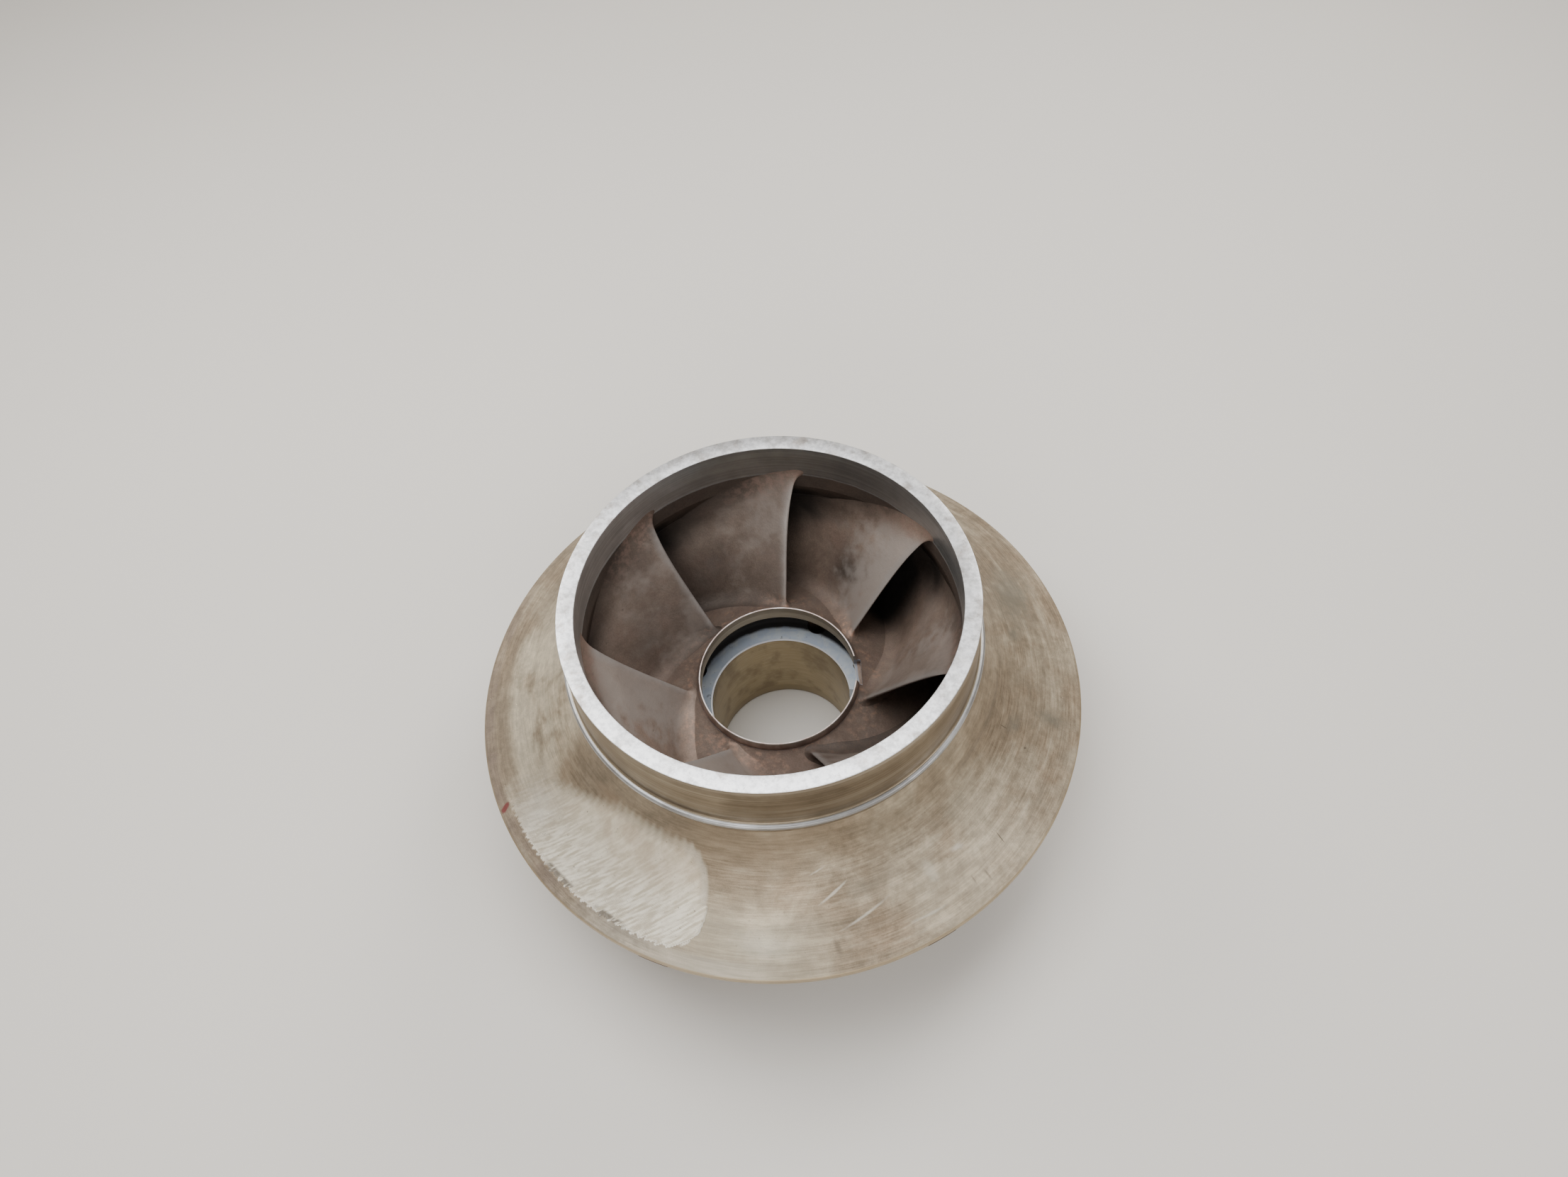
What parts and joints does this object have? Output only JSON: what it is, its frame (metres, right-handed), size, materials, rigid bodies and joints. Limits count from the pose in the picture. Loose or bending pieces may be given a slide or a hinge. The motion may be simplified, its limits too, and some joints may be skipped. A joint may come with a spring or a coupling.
{
  "type": "closed mixed-flow pump impeller",
  "caption": "Closed cast steel pump impeller with a machined eye ring, curved vanes between two shrouds and a keyed bore.",
  "frame": {"origin": "on the shaft axis, in the plane of the hub's rear face", "axes": "+Z along the shaft axis towards the eye, +X towards the keyway's side"},
  "size_m": [0.4728, 0.4728, 0.2283],
  "materials": {
    "machined_steel": "satin",
    "collar_steel": "satin",
    "ground_casting": "satin",
    "cast_passage": "matte",
    "bored_steel": "satin"
  },
  "bodies": {
    "root": {"eye_ring": "machined_steel", "shroud_collar": "collar_steel", "front_shroud_neck": "ground_casting", "front_shroud_plate": "ground_casting", "back_shroud_root": "cast_passage", "back_shroud_plate": "cast_passage", "hub_seat": "bored_steel", "hub_nose": "cast_passage", "hub_nose_ring": "machined_steel", "hub_rear_ring": "machined_steel", "vane_1": "cast_passage", "vane_2": "cast_passage", "vane_3": "cast_passage", "vane_4": "cast_passage", "vane_5": "cast_passage", "vane_6": "cast_passage", "vane_7": "cast_passage"}
  },
  "joints": []
}
